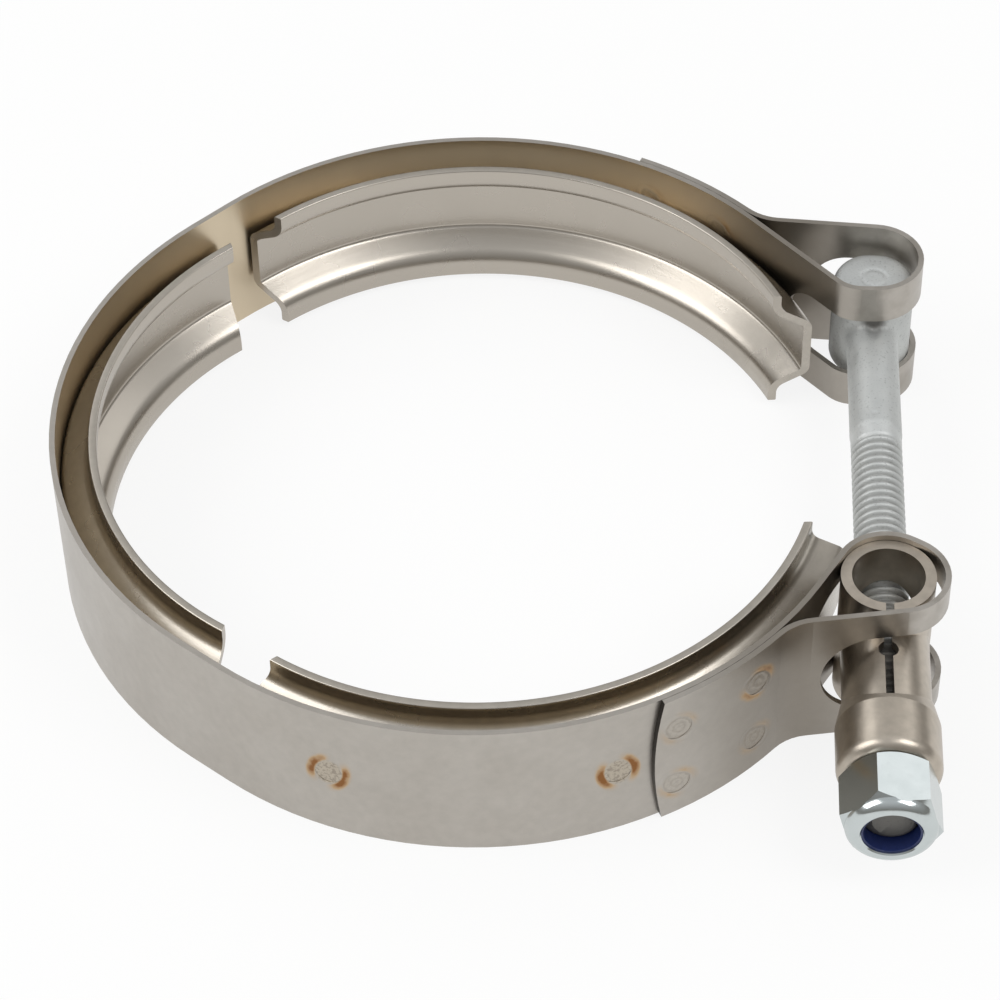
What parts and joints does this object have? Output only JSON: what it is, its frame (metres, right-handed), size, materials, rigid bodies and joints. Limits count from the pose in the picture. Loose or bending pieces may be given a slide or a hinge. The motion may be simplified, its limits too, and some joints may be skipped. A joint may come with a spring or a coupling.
{
  "type": "v-band clamp",
  "caption": "Open T-bolt V-band clamp: a looped steel strap over three V-section retainers, closed by a cross-headed bolt, a tubular trunnion and a nylon-insert nut.",
  "frame": {"origin": "on the ring's axis at half the strap's width, where the three retainers' outward shifts meet", "axes": "+Z along the ring's axis; +X towards the T-bolt; +Y towards the bolt's cross head, so that the nut faces -Y"},
  "size_m": [0.1339, 0.1321, 0.025],
  "materials": {
    "stainless_strap": "bright rolled stainless strip, brushed along its length",
    "stainless_retainer": "roll-formed stainless sheet, satin",
    "zinc_bolt": "cold-forged steel, dull zinc plate",
    "stainless_trunnion": "rolled stainless tube, satin",
    "stainless_collar": "drawn stainless cap, satin with polished rounding",
    "bright_zinc_nut": "bright blue-white zinc plate",
    "blue_nylon": "dark blue nylon"
  },
  "bodies": {
    "band": {"strap": "stainless_strap", "retainer_rear": "stainless_retainer", "retainer_left": "stainless_retainer", "retainer_front": "stainless_retainer"},
    "bolt": {"t_bolt": "zinc_bolt"},
    "pivot_sleeve": {"trunnion": "stainless_trunnion", "trunnion_collar": "stainless_collar"},
    "nut_carrier": {"nylon_insert": "blue_nylon"},
    "nut": {"lock_nut": "bright_zinc_nut"}
  },
  "joints": [
    {"name": "t_bolt_swing", "type": "hinge", "parent": "band", "child": "bolt", "pos_m": [0.06235, 0.036, 0], "axis": [0, 0, 1], "range_deg": [-0.4, 0.4]},
    {"name": "trunnion_pivot", "type": "hinge", "parent": "band", "child": "pivot_sleeve", "pos_m": [0.06235, -0.03041, 0], "axis": [0, 0, 1], "range_deg": [-1.4, 1.4]},
    {"name": "nut_travel", "type": "slide", "parent": "bolt", "child": "nut_carrier", "axis": [0, -1, 0], "range_m": [0, 0.0083]},
    {"name": "nut_spin", "type": "hinge", "parent": "nut_carrier", "child": "nut", "pos_m": [0.06235, -0.0638, 0], "axis": [0, -1, 0], "range_deg": [0, 2120]}
  ],
  "couplings": [
    {"joint": "trunnion_pivot", "follows": "t_bolt_swing", "ratio": 3.46},
    {"joint": "nut_spin", "follows": "nut_travel", "rad_per_m": 4452.7}
  ]
}
